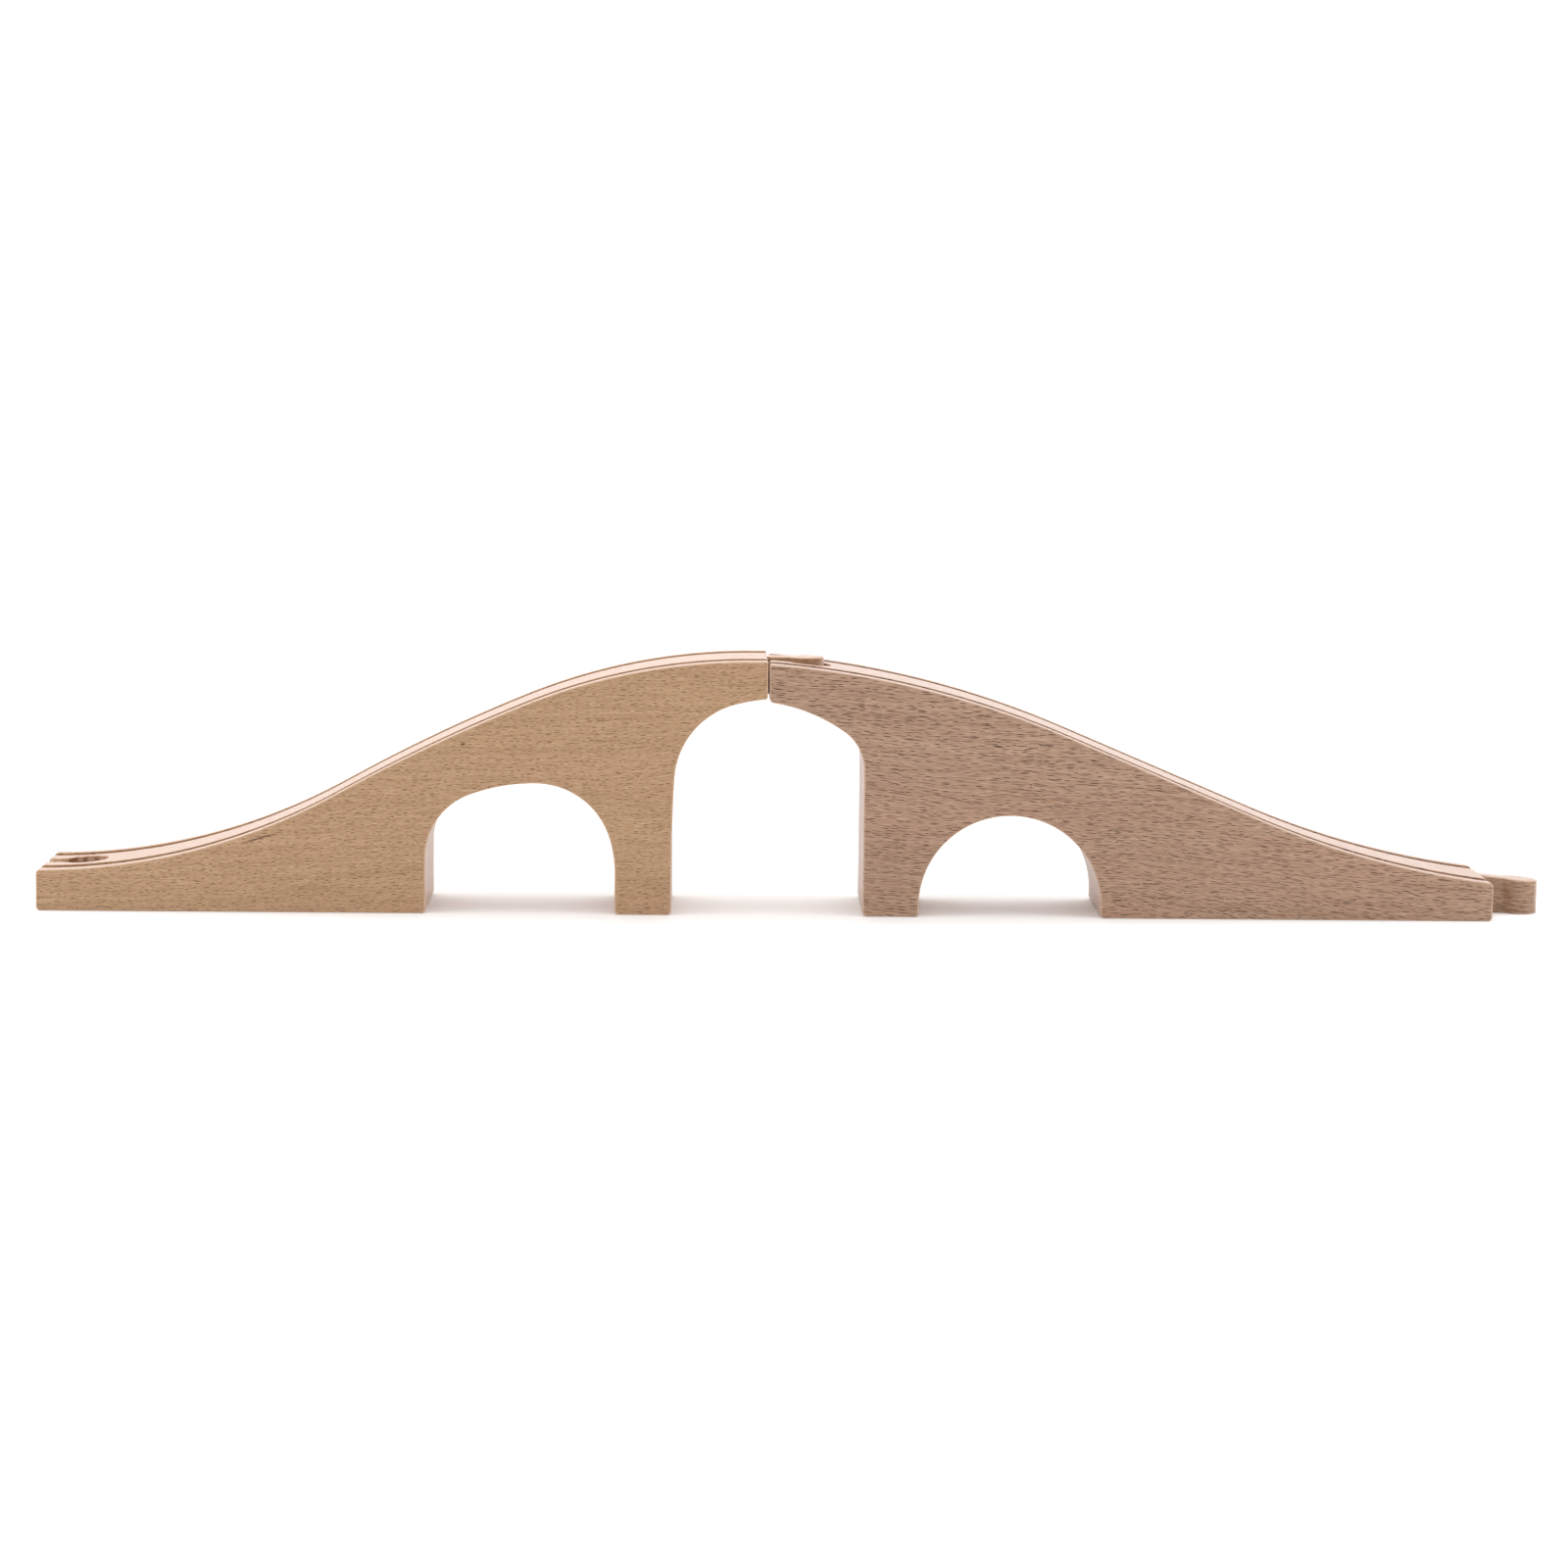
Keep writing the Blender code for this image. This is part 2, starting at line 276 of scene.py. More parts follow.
def round_corners(loop, radii):
    """Rounds each sharp corner. Returns points with their corner's radius and edge wear with
    painted highlight, or 0.
    """
    left = list(radii)
    result = []
    count = len(loop)
    for i, corner in enumerate(loop):
        arriving = (corner - loop[i - 1]).normalized()
        leaving = (loop[(i + 1) % count] - corner).normalized()
        turn = math.atan2(arriving.x * leaving.y - arriving.y * leaving.x, arriving.dot(leaving))
        if turn < SHARP:
            result.append((corner, 0.0, 0.0))
            continue
        radius = left.pop(0)
        cut = radius * math.tan(turn / 2.0)
        centre = corner - arriving * cut + left_normal(arriving) * radius
        spoke = -left_normal(arriving) * radius
        for k in range(ROUND_STEPS + 1):
            spin = Matrix.Rotation(turn * k / ROUND_STEPS, 2)
            result.append((centre + spin @ spoke, radius, WEAR_HIGHLIGHT[k]))
    return result


# ---------------------------------------------------------------- span meshes

def quarter(steps):
    return [math.radians(90.0 * k / steps) for k in range(steps + 1)]


def section(half_width):
    """Columns across a span: y, inset from the outline, share of groove depth, edge wear with
    painted highlight.
    """
    half = []
    for t, wear_highlight in zip(quarter(ROUND_STEPS), WEAR_HIGHLIGHT):
        y = -half_width + SIDE_ROUND * (1.0 - math.cos(t))
        half.append((y, SIDE_ROUND * (1.0 - math.sin(t)), 0.0, wear_highlight))
    for wall, side in ((-GROOVE_OUTER, 1.0), (-GROOVE_INNER, -1.0)):
        columns = []
        for t, wear_highlight in zip(quarter(3), (0.0, 1.0, 1.0, 0.0)):
            depth = RIM_ROUND * (1.0 - math.cos(t))
            y = wall - side * RIM_ROUND * (1.0 - math.sin(t))
            columns.append((y, 0.0, depth / GROOVE_DEPTH, wear_highlight))
        for t in quarter(2):
            depth = GROOVE_DEPTH - FLOOR_ROUND * (1.0 - math.sin(t))
            y = wall + side * (WALL_DRAFT + FLOOR_ROUND * (1.0 - math.cos(t)))
            columns.append((y, 0.0, depth / GROOVE_DEPTH, 0.0))
        half += columns if side > 0.0 else columns[::-1]
    return half + [(-y, inset, share, wear_highlight) for y, inset, share, wear_highlight in reversed(half)]


def new_mesh_object(name, bm):
    bmesh.ops.recalc_face_normals(bm, faces=bm.faces)
    mesh = bpy.data.meshes.new(name)
    bm.to_mesh(mesh)
    bm.free()
    piece = bpy.data.objects.new(name, mesh)
    bpy.context.scene.collection.objects.link(piece)
    return piece


def loft_span(name, under, deck, corners, low_x, direction, half_width):
    """The block with its grooves, before its socket and its connector's slot are cut."""
    rim = round_corners(under + deck[::-1], corners)
    floor = round_corners(under + lowered(deck, GROOVE_DEPTH)[::-1], corners)
    columns = section(half_width)
    bm = bmesh.new()
    wear_highlight_layer = bm.verts.layers.float.new("edge_wear_and_highlight")
    rings = []
    count = len(rim)
    for i, (point, radius, corner_wear_highlight) in enumerate(rim):
        along = (rim[(i + 1) % count][0] - rim[i - 1][0]).normalized()
        inward = left_normal(along)
        squeeze = min(1.0, 0.9 * radius / SIDE_ROUND) if radius else 1.0
        ring = []
        for j, (y, inset, share, wear_highlight) in enumerate(columns):
            place = point.lerp(floor[i][0], share) + inward * inset * squeeze
            vert = bm.verts.new((low_x + direction * place.x, y, place.y))
            on_side = j in (0, len(columns) - 1)
            vert[wear_highlight_layer] = 0.0 if on_side else max(wear_highlight, corner_wear_highlight)
            ring.append(vert)
        rings.append(ring)
    for i in range(count):
        ring, following = rings[i], rings[(i + 1) % count]
        for j in range(len(columns) - 1):
            bm.faces.new((ring[j], following[j], following[j + 1], ring[j + 1]))
    bm.faces.new([ring[0] for ring in rings])
    bm.faces.new([ring[-1] for ring in reversed(rings)])
    return new_mesh_object(name, bm)


# ---------------------------------------------------------------- connectors

def mirrored(half):
    upper = [Vector((p.x, -p.y)) for p in reversed(half) if p.y < -1e-9]
    return half + upper


def socket_outline():
    """Plan of the keyhole with x into the wood from the end face."""
    corner = math.degrees(math.atan2(-SLOT_HALF_WIDTH, -SOCKET_INSET))
    pen = Pen(-OVERSHOOT, -SLOT_HALF_WIDTH - MOUTH_RADIUS, 0.0)
    pen.run_to_x(0.0)
    pen.turn(90.0)
    pen.arc(MOUTH_RADIUS, 0.0)
    pen.run_to_x(SLOT_LENGTH, STRAIGHT_STEP)
    pen.turn(corner + 90.0)
    pen.arc(SOCKET_RADIUS, 90.0)
    return mirrored(pen.points)


def peg_half_outline():
    """Lower half of a connector's plan, from its tongue's end to its head's tip."""
    reach = HEAD_RADIUS + NECK_FILLET
    fillet_drop = NECK_HALF_WIDTH + NECK_FILLET
    fillet_x = HEAD_CENTRE - math.sqrt(reach ** 2 - fillet_drop ** 2)
    meeting = -math.degrees(math.acos(fillet_drop / reach))
    pen = Pen(-TONGUE_LENGTH, 0.0, -90.0)
    pen.arc(NECK_HALF_WIDTH, 0.0)
    pen.run_to_x(fillet_x, STRAIGHT_STEP)
    pen.arc(NECK_FILLET, meeting)
    pen.arc(HEAD_RADIUS, 90.0)
    return pen.points


def tongue_slot_outline():
    half_width = NECK_HALF_WIDTH + GLUE_LINE
    pen = Pen(-TONGUE_LENGTH - GLUE_LINE, 0.0, -90.0)
    pen.arc(half_width, 0.0)
    pen.run_to_x(OVERSHOOT)
    return mirrored(pen.points)


def grown(loop, distance):
    """The closed outline moved outwards by a distance."""
    moved = []
    count = len(loop)
    for i, point in enumerate(loop):
        along = (loop[(i + 1) % count] - loop[i - 1]).normalized()
        moved.append(point - left_normal(along) * distance)
    return moved


def column_cutter(name, outline, end_x, top, bottom, flare):
    """A cutter through the block whose sides flare out to round the hole's two rims."""
    angles = [math.radians(a) for a in RIM_ANGLES] if flare else []
    rim = [(flare * (1.0 - math.sin(t)), flare * (1.0 - math.cos(t))) for t in angles]
    levels = [(flare, top, CUTTER_REACH)]
    levels += [(spread, top, -dip) for spread, dip in rim]
    levels += [(spread, bottom, dip) for spread, dip in reversed(rim)]
    levels.append((flare, bottom, -CUTTER_REACH))
    bm = bmesh.new()
    rings = []
    for spread, surface, lift in levels:
        ring = []
        for spot, under in zip(grown(outline, spread), outline):
            height = surface(end_x + under.x) + lift
            ring.append(bm.verts.new((end_x + spot.x, spot.y, height)))
        rings.append(ring)
    count = len(outline)
    for upper, lower in zip(rings, rings[1:]):
        for i in range(count):
            k = (i + 1) % count
            bm.faces.new((upper[i], upper[k], lower[k], lower[i]))
    bm.faces.new(rings[0])
    bm.faces.new(rings[-1])
    bmesh.ops.triangulate(bm, faces=[f for f in bm.faces if len(f.verts) > 4])
    return new_mesh_object(name, bm)


def cut(piece, cutter):
    """Takes the cutter away from the piece for good; cut faces keep the cutter's material."""
    modifier = piece.modifiers.new("cut", "BOOLEAN")
    modifier.operation = "DIFFERENCE"
    modifier.solver = "EXACT"
    modifier.material_mode = "TRANSFER"
    modifier.object = cutter
    bpy.context.view_layer.update()
    graph = bpy.context.evaluated_depsgraph_get()
    mesh = bpy.data.meshes.new_from_object(piece.evaluated_get(graph))
    piece.modifiers.clear()
    piece.data = mesh
    bpy.data.objects.remove(cutter)


def loft_peg(name, end_x, top, bottom):
    """A connector whose edges are rounded outside the block and planed flush inside it."""
    half = peg_half_outline()
    outline = mirrored(half)
    count = len(outline)
    normals = [a - b for a, b in zip(outline, grown(outline, 1.0))]
    bm = bmesh.new()
    wear_highlight_layer = bm.verts.layers.float.new("edge_wear_and_highlight")
    rings = []
    steps = quarter(4)
    for is_top in (False, True):
        levels = list(zip(steps, PEG_WEAR_HIGHLIGHT))
        for t, wear_highlight in (reversed(levels) if is_top else levels):
            ring = []
            for p, inward in zip(outline, normals):
                x = end_x + p.x
                outside = smoothstep(-FACE_BLEND, FACE_BLEND, p.x)
                radius = PEG_ROUND * (FLUSH_ROUND + (1.0 - FLUSH_ROUND) * outside)
                spot = p + inward * radius * (1.0 - math.sin(t))
                dip = radius * (1.0 - math.cos(t))
                z = top(x) - dip if is_top else bottom(x) + dip
                vert = bm.verts.new((end_x + spot.x, spot.y, z))
                vert[wear_highlight_layer] = wear_highlight * outside
                ring.append(vert)
            rings.append(ring)
    for lower, upper in zip(rings, rings[1:]):
        for i in range(count):
            k = (i + 1) % count
            bm.faces.new((lower[i], lower[k], upper[k], upper[i]))
    last = len(half) - 1
    for ring in (rings[0], rings[-1]):
        for i in range(last):
            facing = (count - i - 1) % count, (count - i) % count
            corners = (ring[i], ring[i + 1], ring[facing[0]], ring[facing[1]])
            bm.faces.new(list(dict.fromkeys(corners)))
    return new_mesh_object(name, bm)


# ---------------------------------------------------------------- materials

class Graph:
    """A short way to write shader nodes. Each call adds one node and returns an output."""

    def __init__(self, name):
        self.material = bpy.data.materials.new(name)
        self.material.use_nodes = True
        self.tree = self.material.node_tree
        self.tree.nodes.clear()

    def node(self, kind, values=None, **settings):
        made = self.tree.nodes.new("ShaderNode" + kind)
        for key, value in settings.items():
            setattr(made, key, value)
        for key, value in (values or {}).items():
            if isinstance(value, bpy.types.NodeSocket):
                self.tree.links.new(value, made.inputs[key])
            else:
                made.inputs[key].default_value = value
        return made

    def math(self, operation, a, b=0.0, clamp=False):
        return self.node("Math", {0: a, 1: b}, operation=operation, use_clamp=clamp).outputs[0]

    def remap(self, value, low, high, to_low=0.0, to_high=1.0):
        values = {"Value": value, 1: low, 2: high, 3: to_low, 4: to_high}
        return self.node("MapRange", values, interpolation_type="SMOOTHSTEP").outputs[0]

    def stretch(self, vector, lengths, offset=(0.0, 0.0, 0.0)):
        """Coordinates in which one unit is the given length along each axis, in metres."""
        scale = tuple(1.0 / length for length in lengths)
        scaled = self.node("VectorMath", {0: vector, 1: scale}, operation="MULTIPLY")
        moved = self.node("VectorMath", {0: scaled.outputs[0], 1: offset}, operation="ADD")
        return moved.outputs[0]

    def noise(self, vector, detail=2.0, roughness=0.5):
        values = {"Vector": vector, "Scale": 1.0, "Detail": detail, "Roughness": roughness}
        return self.node("TexNoise", values).outputs["Fac"]

    def mix(self, factor, a, b, blend="MIX"):
        made = self.tree.nodes.new("ShaderNodeMix")
        made.data_type = "RGBA"
        made.blend_type = blend
        for index, value in ((0, factor), (6, a), (7, b)):
            if isinstance(value, bpy.types.NodeSocket):
                self.tree.links.new(value, made.inputs[index])
            elif index == 0:
                made.inputs[index].default_value = value
            else:
                made.inputs[index].default_value = (*value, 1.0)
        return made.outputs[2]


def grain_coordinates(graph, rise, seed):
    """Object coordinates turned to the grain and bent a little, as real fibres run."""
    place = graph.node("TexCoord").outputs["Object"]
    turned = graph.node(
        "VectorRotate", {"Vector": place, "Angle": math.radians(rise)}, rotation_type="Y_AXIS"
    ).outputs[0]
    bend_at = graph.stretch(turned, BEND_SIZE, (seed, 0.0, seed))
    bend = graph.math("SUBTRACT", graph.noise(bend_at, 1.0), 0.5)
    lift = graph.math("MULTIPLY", bend, BEND_LIFT)
    shift = graph.node("CombineXYZ", {"X": 0.0, "Y": lift, "Z": lift}).outputs[0]
    return graph.node("VectorMath", {0: turned, 1: shift}, operation="ADD").outputs[0]


def flecks(graph, grain, spacing, length, thickness, seed):
    """Beech's rays, cut across: one short dark lens in each cell, of its own size and depth."""
    cell_size = (spacing[0], RAY_DEPTH, spacing[1])
    at = graph.stretch(grain, cell_size, (seed, seed * 0.7, seed * 1.3))
    cell = graph.node("TexVoronoi", {"Vector": at, "Scale": 1.0, "Randomness": 0.8})
    parts = graph.node("SeparateColor", {0: cell.outputs["Color"]})
    offset = graph.node("VectorMath", {0: at, 1: cell.outputs["Position"]}, operation="SUBTRACT")
    shape = (2.0 * spacing[0] / length, 0.0, 2.0 * spacing[1] / thickness)
    scaled = graph.node("VectorMath", {0: offset.outputs[0], 1: shape}, operation="MULTIPLY")
    axes = graph.node("SeparateXYZ", {0: scaled.outputs[0]})
    size = graph.remap(parts.outputs[0], 0.0, 1.0, 0.7, 1.2)
    along = graph.math("DIVIDE", axes.outputs[0], size)
    squared = graph.math("MULTIPLY", along, along)
    rim = graph.math("ADD", squared, graph.math("ABSOLUTE", axes.outputs[2]))
    mask = graph.remap(rim, 0.78, 1.0, 1.0, 0.0)
    return graph.math("MULTIPLY", mask, graph.remap(parts.outputs[1], 0.0, 1.0, 0.3, 1.0))


def line_mark(graph, centre, slope, length, height):
    """A single thin dark mark in the side face, as an ellipse about a point in x and z."""
    place = graph.node("TexCoord").outputs["Object"]
    axes = graph.node("SeparateXYZ", {0: place})
    across = graph.math("SUBTRACT", axes.outputs[0], centre[0])
    up = graph.math("SUBTRACT", axes.outputs[2], centre[1])
    up = graph.math("SUBTRACT", up, graph.math("MULTIPLY", across, slope))
    flat = graph.math("POWER", graph.math("DIVIDE", across, length), 2.0)
    tall = graph.math("POWER", graph.math("DIVIDE", up, height), 2.0)
    return graph.remap(graph.math("ADD", flat, tall), 0.2, 1.0, 1.0, 0.0)


def wood_tones(graph, grain, look):
    """The wood's colour without its rays, and the two noises that the finish uses again."""
    seed = look["seed"]
    patch = graph.noise(graph.stretch(grain, PATCH_SIZE, (seed, 0, 0)), 2.0)
    streak = graph.noise(graph.stretch(grain, STREAK_SIZE, (0, seed, 0)), 3.0)
    fibre = graph.noise(graph.stretch(grain, FIBRE_SIZE, (0, 0, seed)), 2.0)
    colour = graph.mix(graph.remap(streak, 0.3, 0.7), look["light"], look["dark"])
    colour = graph.mix(graph.remap(patch, 0.45, 0.7, 0.0, look["flush"]), colour, look["pink"])
    colour = graph.mix(graph.remap(fibre, 0.3, 0.5, look["fibre"], 0.0), colour, look["fleck"])
    colour = graph.mix(graph.remap(fibre, 0.5, 0.7, 0.0, look["fibre"]), colour, look["pale_wear_and_highlight"])
    return colour, streak, fibre


def ray_masks(graph, grain, look):
    """Where the dark rays lie, fine and coarse ones together, and where the pale ones do."""
    spacing, length, thickness = look["spacing"], look["length"], look["thickness"]
    seed = look["seed"]
    wide = (spacing[0] * 2.3, spacing[1] * 2.6)
    fine = flecks(graph, grain, spacing, length, thickness, seed)
    coarse = flecks(graph, grain, wide, length * 1.5, thickness * 1.1, seed + 5.0)
    pale = flecks(graph, grain, spacing, length, thickness * 1.4, seed + 9.0)
    dark = graph.math("MAXIMUM", fine, graph.math("MULTIPLY", coarse, 0.7))
    return dark, graph.math("MULTIPLY", pale, 0.25)


def beech(name, look, marks=()):
    """Sanded bare beech from a few driving looks, with painted light: paler on all but the two
    flat sides, and lighter rounded edges that are part wear, part painted highlight.
    """
    graph = Graph(name)
    grain = grain_coordinates(graph, look["rise"], look["seed"])
    facing = graph.node("SeparateXYZ", {0: graph.node("TexCoord").outputs["Normal"]})
    side_on = graph.math("ABSOLUTE", facing.outputs[1])
    upright = graph.remap(graph.math("ABSOLUTE", facing.outputs[2]), 0.4, 0.9, 1.0, 0.2)

    colour, streak, fibre = wood_tones(graph, grain, look)
    dark_rays, pale_rays = ray_masks(graph, grain, look)
    colour = graph.mix(pale_rays, colour, look["pale_wear_and_highlight"])
    rays = graph.math("MULTIPLY", graph.math("MULTIPLY", dark_rays, look["strength"]), upright)
    colour = graph.mix(rays, colour, look["fleck"])
    for centre, slope, length, height, strength in marks:
        mark = line_mark(graph, centre, slope, length, height)
        colour = graph.mix(graph.math("MULTIPLY", mark, strength), colour, look["fleck"])

    # Painted light: faces other than the two flat sides are mixed towards a paler colour,
    # standing in for the light and sheen on the tops and arch walls.
    painted_light_share = graph.remap(side_on, 0.3, 0.8, look["painted_light_share"], 0.0)
    colour = graph.mix(painted_light_share, colour, look["pale"])

    # Rounded edges are lighter: partly real wear, partly a painted highlight along them.
    wear_highlight = graph.node("Attribute", attribute_name="edge_wear_and_highlight").outputs["Fac"]
    pale_wear_and_highlight = graph.math("MULTIPLY", wear_highlight, graph.remap(streak, 0.3, 0.7, 0.3, 0.6))
    colour = graph.mix(pale_wear_and_highlight, colour, look["pale_wear_and_highlight"])

    roughness = graph.remap(fibre, 0.2, 0.8, look["roughness"], look["roughness"] + 0.12)
    roughness = graph.math("SUBTRACT", roughness, graph.math("MULTIPLY", wear_highlight, 0.06))
    relief = graph.math("SUBTRACT", graph.math("MULTIPLY", fibre, 0.6), rays)
    relief = graph.math("MULTIPLY", relief, graph.remap(side_on, 0.4, 0.9))
    bump = graph.node("Bump", {"Strength": 0.3, "Distance": RELIEF, "Height": relief}).outputs[0]
    shader = graph.node(
        "BsdfPrincipled",
        {
            "Base Color": colour, "Roughness": roughness, "Normal": bump, "IOR": 1.5,
            "Specular IOR Level": 0.35,
        },
    )
    graph.node("OutputMaterial", {"Surface": shader.outputs[0]})
    return graph.material


# Linear colours. Rise is the grain's slope in degrees; spacing is along and up the side. The pale
# colour is painted light on faces off the two flat sides; the other light tone serves pale grain
# and the lighter edges, part wear and part painted highlight.
LEFT_LOOK = {
    "light": (0.400, 0.245, 0.136), "dark": (0.345, 0.204, 0.108), "pink": (0.392, 0.222, 0.130),
    "fleck": (0.100, 0.036, 0.012), "pale_wear_and_highlight": (0.66, 0.47, 0.34), "flush": 0.4, "fibre": 0.14,
    "spacing": (2.5 * MM, 0.95 * MM), "length": 1.8 * MM, "thickness": 0.25 * MM,
    "strength": 0.85, "rise": 2.5, "painted_light_share": 0.5, "pale": (0.62, 0.43, 0.36),
    "roughness": 0.34, "seed": 3.0,
}
RIGHT_LOOK = {
    "light": (0.360, 0.226, 0.148), "dark": (0.298, 0.178, 0.112), "pink": (0.358, 0.200, 0.130),
    "fleck": (0.050, 0.018, 0.006), "pale_wear_and_highlight": (0.64, 0.45, 0.34), "flush": 0.4, "fibre": 0.14,
    "spacing": (3.3 * MM, 0.85 * MM), "length": 3.3 * MM, "thickness": 0.26 * MM,
    "strength": 1.0, "rise": -5.0, "painted_light_share": 0.5, "pale": (0.60, 0.42, 0.355),
    "roughness": 0.34, "seed": 11.0,
}
# Single marks: centre in x and z, slope, half length, half height, strength
LEFT_MARKS = (
    ((-158.9 * MM, 22.0 * MM), 0.30, 6.0 * MM, 0.34 * MM, 0.85),
    ((-98.5 * MM, 50.6 * MM), 0.10, 0.9 * MM, 0.45 * MM, 0.9),
)


def end_grain_shade_look(look):
    """The same wood where a cutter has gone across its fibres: darker and more orange, partly for
    its end grain and partly as painted shade in the hole.
    """
    across = look["spacing"][1]
    return dict(
        look, light=(0.27, 0.095, 0.022), dark=(0.17, 0.055, 0.012), flush=0.2,
        spacing=(across, across), length=0.7 * MM, thickness=0.7 * MM, strength=0.0,
        painted_light_share=0.0, roughness=look["roughness"] + 0.2, seed=look["seed"] + 20.0,
    )


# ---------------------------------------------------------------- the pieces

def keep_sides_flat(mesh):
    """Stops the rounded edges from bending the shading of the two flat sides."""
    edges = {edge.key: edge for edge in mesh.edges}
    for face in mesh.polygons:
        if abs(face.normal.y) > SIDE_FACING:
            face.use_smooth = False
            for key in face.edge_keys:
                edges[key].use_edge_sharp = True


def finish_piece(piece, material, body, node):
    if material.name not in [m.name for m in piece.data.materials if m]:
        piece.data.materials.clear()
        piece.data.materials.append(material)
    piece.data.shade_smooth()
    piece.data.set_sharp_from_angle(angle=SMOOTH)
    keep_sides_flat(piece.data)
    weighted = piece.modifiers.new("even_shading", "WEIGHTED_NORMAL")
    weighted.keep_sharp = True
    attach(piece, body)
    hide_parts(node)


def make_half(side):
    """One span with its connector, placed on the CAD nodes' boxes."""
    span_node, peg_node, body, slot = side["names"]
    low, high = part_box(span_node)
    direction = side["direction"]
    low_x = low[0] if direction > 0.0 else high[0]
    socket_x, peg_x = low[0], high[0]
    length = high[0] - low[0]
    half_width = (high[1] - low[1]) / 2.0

    wood = beech(slot, side["look"], side["marks"])
    end_grain_shade_wood = beech(slot + "_end_grain_shade", end_grain_shade_look(side["look"]))
    under, deck = side["paths"](length, 0.0)
    block = loft_span(
        side["block_name"], under, deck, side["corners"], low_x, direction, half_width
    )
    block.data.materials.append(wood)

    long_under, long_deck = side["paths"](length, PEG_REACH)

    def top(x):
        return height_along(long_deck, direction * (x - low_x))

    def bottom(x):
        return height_along(long_under, direction * (x - low_x))

    socket = column_cutter("socket", socket_outline(), socket_x, top, bottom, SOCKET_ROUND)
    socket.data.materials.append(end_grain_shade_wood)
    socket.data.materials.append(wood)
    # The socket's round hole takes the darker look, painted shade in the hole as well as end
    # grain; the slot's walls keep the plain wood.
    for face in socket.data.polygons:
        if face.center.x < socket_x + SLOT_LENGTH:
            face.material_index = 1
    cut(block, socket)
    slot_cutter = column_cutter("tongue_slot", tongue_slot_outline(), peg_x, top, bottom, 0.0)
    slot_cutter.data.materials.append(end_grain_shade_wood)
    cut(block, slot_cutter)
    finish_piece(block, wood, body, span_node)

    peg_look = dict(side["look"], seed=side["look"]["seed"] + 40.0, **side["peg_look"])
    peg = loft_peg(side["peg_name"], peg_x, top, bottom)
    finish_piece(peg, beech(slot + "_peg", peg_look), body, peg_node)


def left_paths(length, reach):
    """Underside and deck of the left span, carried on past the crest by a peg's reach."""
    return left_underside(length, length + reach), left_deck(length + reach)


def right_paths(length, reach):
    """Underside and deck of the right span, carried on past the low end by a peg's reach."""
    return right_underside(-reach, length), right_deck(-reach, length)


LEFT = {
    "names": ("left_span", "summit_peg", "left_half", "beech_left"),
    "block_name": "left_block",
    "peg_name": "summit_connector",
    "direction": 1.0,
    "look": LEFT_LOOK,
    "marks": LEFT_MARKS,
    "peg_look": {"light": (0.360, 0.205, 0.105), "dark": (0.300, 0.160, 0.075)},
    "corners": LEFT_CORNERS,
    "paths": left_paths,
}
RIGHT = {
    "names": ("right_span", "foot_peg", "right_half", "beech_right"),
    "block_name": "right_block",
    "peg_name": "foot_connector",
    "direction": -1.0,
    "look": RIGHT_LOOK,
    "marks": (),
    "peg_look": {"light": (0.330, 0.205, 0.128), "dark": (0.270, 0.160, 0.095)},
    "corners": RIGHT_CORNERS,
    "paths": right_paths,
}
make_half(LEFT)
make_half(RIGHT)


# ---------------------------------------------------------------- studio

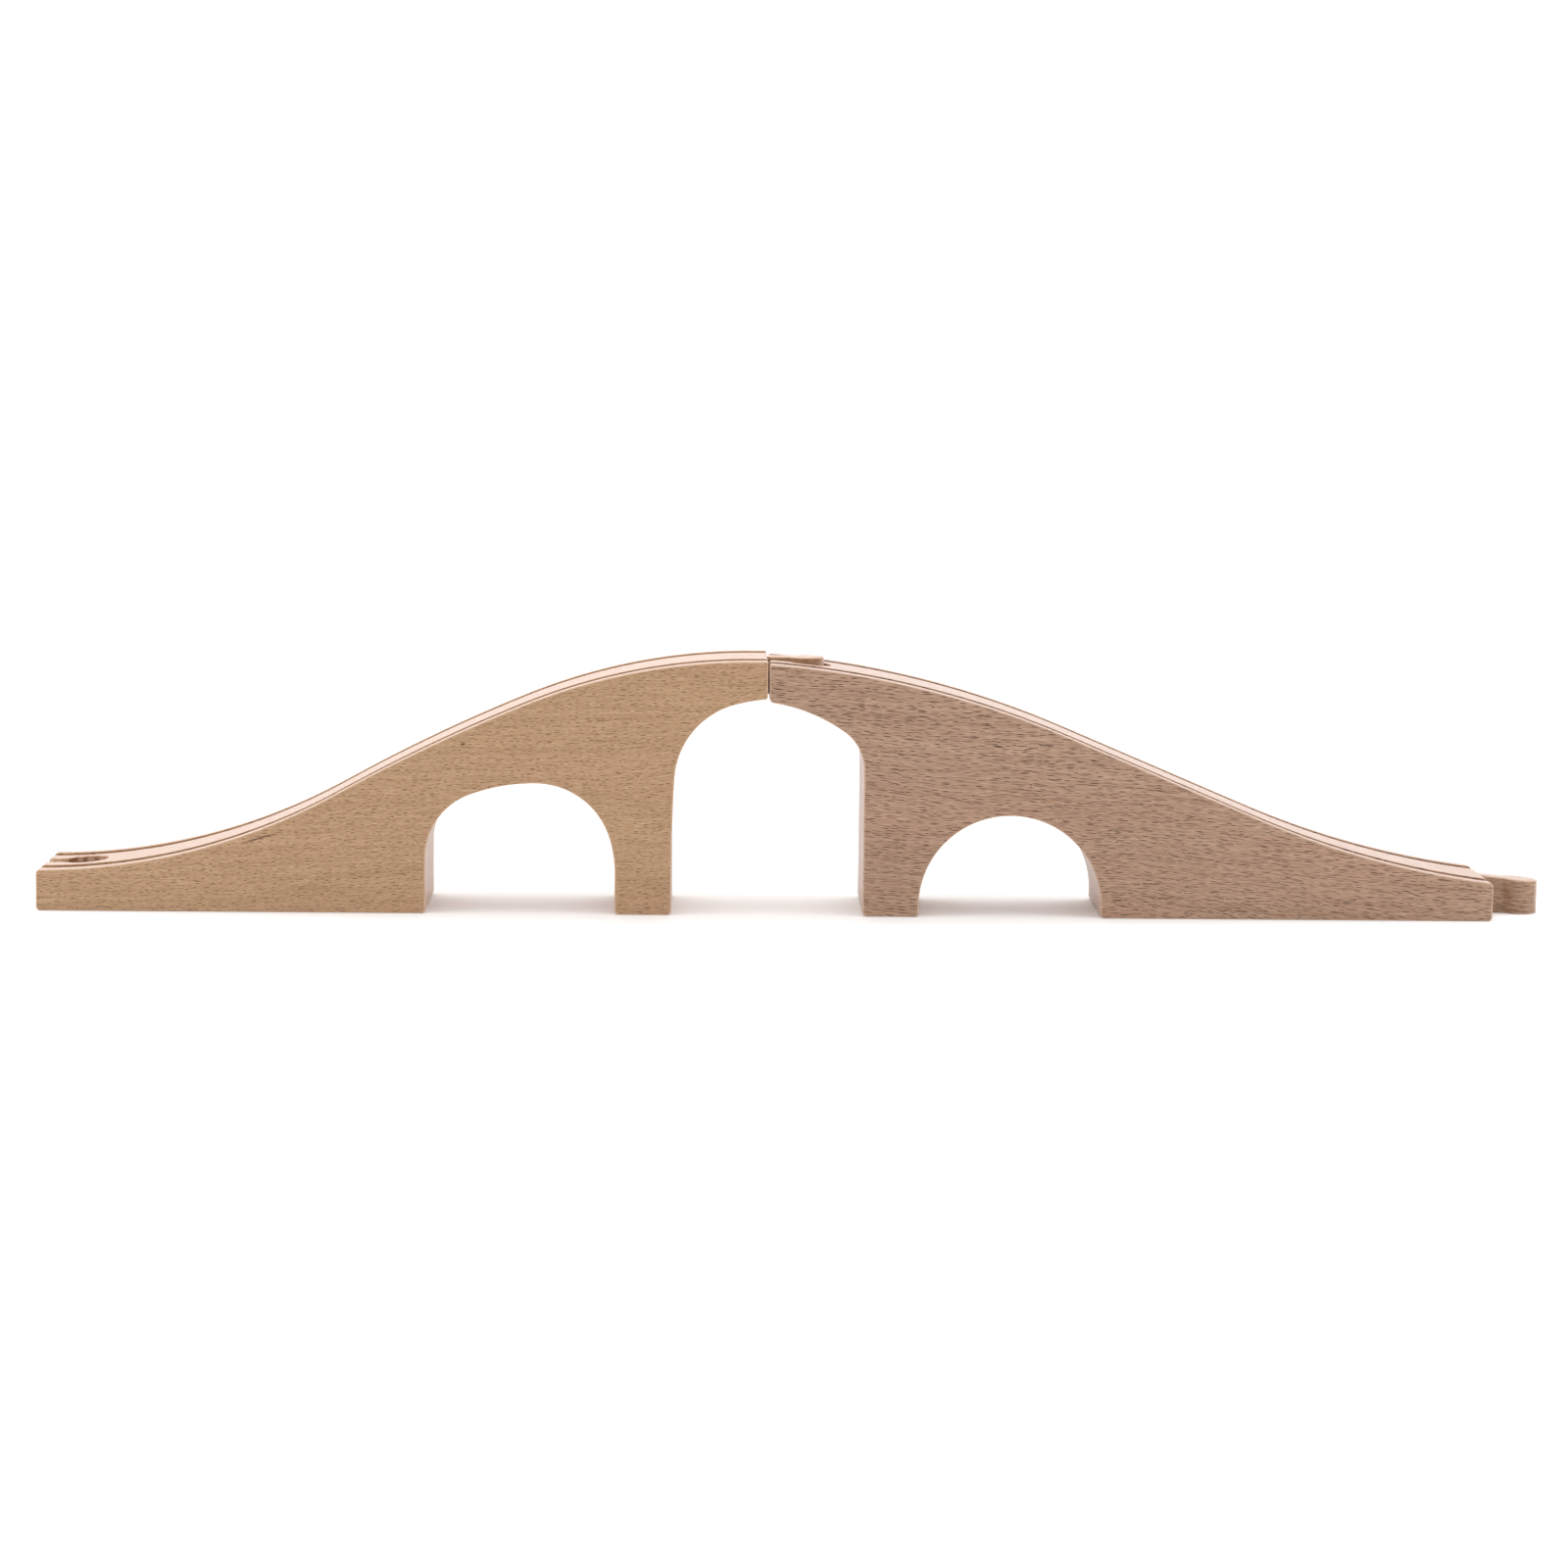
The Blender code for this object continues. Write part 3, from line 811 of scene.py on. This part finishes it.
def studio_sweep():
    """A pale floor that curves up into a backdrop far behind the bridge."""
    half_width, front, back, rise = 6.0, -4.0, 3.0, 4.0
    bend = 1.5
    profile = [(front, 0.0), (back, 0.0)]
    for k in range(1, 13):
        t = math.radians(90.0 * k / 12)
        profile.append((back + bend * math.sin(t), bend * (1.0 - math.cos(t))))
    profile.append((back + bend, rise))
    bm = bmesh.new()
    rows = [[bm.verts.new((x, y, z)) for y, z in profile] for x in (-half_width, half_width)]
    for i in range(len(profile) - 1):
        bm.faces.new((rows[0][i], rows[1][i], rows[1][i + 1], rows[0][i + 1]))
    mesh = bpy.data.meshes.new("studio_sweep")
    bm.to_mesh(mesh)
    bm.free()
    mesh.shade_smooth()
    sweep = bpy.data.objects.new("studio_sweep", mesh)
    bpy.context.scene.collection.objects.link(sweep)
    graph = Graph("pale_floor")
    shader = graph.node(
        "BsdfPrincipled",
        {"Base Color": (0.93, 0.93, 0.93, 1.0), "Roughness": 0.9, "Specular IOR Level": 0.1},
    )
    graph.node("OutputMaterial", {"Surface": shader.outputs[0]})
    mesh.materials.append(graph.material)


def soft_light(name, place, target, size, power):
    data = bpy.data.lights.new(name, "AREA")
    data.shape = "DISK"
    data.size = size
    data.energy = power
    lamp = bpy.data.objects.new(name, data)
    lamp.location = place
    lamp.rotation_mode = "QUATERNION"
    lamp.rotation_quaternion = (Vector(target) - Vector(place)).to_track_quat("-Z", "Y")
    bpy.context.scene.collection.objects.link(lamp)


def camera():
    """In front, a little left of the crest and above the deck."""
    place = Vector((-27.4 * MM, -1221.3 * MM, 186.0 * MM))
    target = Vector((-3.7 * MM, -19.9 * MM, 39.5 * MM))
    roll = math.radians(0.61)
    data = bpy.data.cameras.new("camera")
    data.sensor_width = 36.0
    data.lens = 94.0
    data.clip_start = 0.05
    data.clip_end = 50.0
    made = bpy.data.objects.new("camera", data)
    made.rotation_mode = "QUATERNION"
    look = (target - place).to_track_quat("-Z", "Y").to_matrix().to_4x4()
    turned = look @ Matrix.Rotation(roll, 4, "Z")
    made.matrix_world = Matrix.Translation(place) @ turned
    bpy.context.scene.collection.objects.link(made)
    bpy.context.scene.camera = made


studio_sweep()
MIDDLE = (0.0, 0.0, 0.04)
soft_light("overhead", (0.0, 0.25, 1.3), MIDDLE, 1.6, 10.0)
soft_light("left_box", (-1.3, -0.4, 0.5), MIDDLE, 0.9, 4.0)
soft_light("right_box", (1.3, -0.4, 0.5), MIDDLE, 0.9, 4.0)
soft_light("backdrop_wash", (0.0, 1.5, 2.2), (0.0, 4.5, 0.3), 2.0, 90.0)
camera()

world = bpy.data.worlds.new("studio")
world.use_nodes = True
background = world.node_tree.nodes["Background"].inputs
background["Color"].default_value = (1.0, 1.0, 1.0, 1.0)
background["Strength"].default_value = 0.97
bpy.context.scene.world = world
bpy.context.scene.view_settings.view_transform = "Standard"
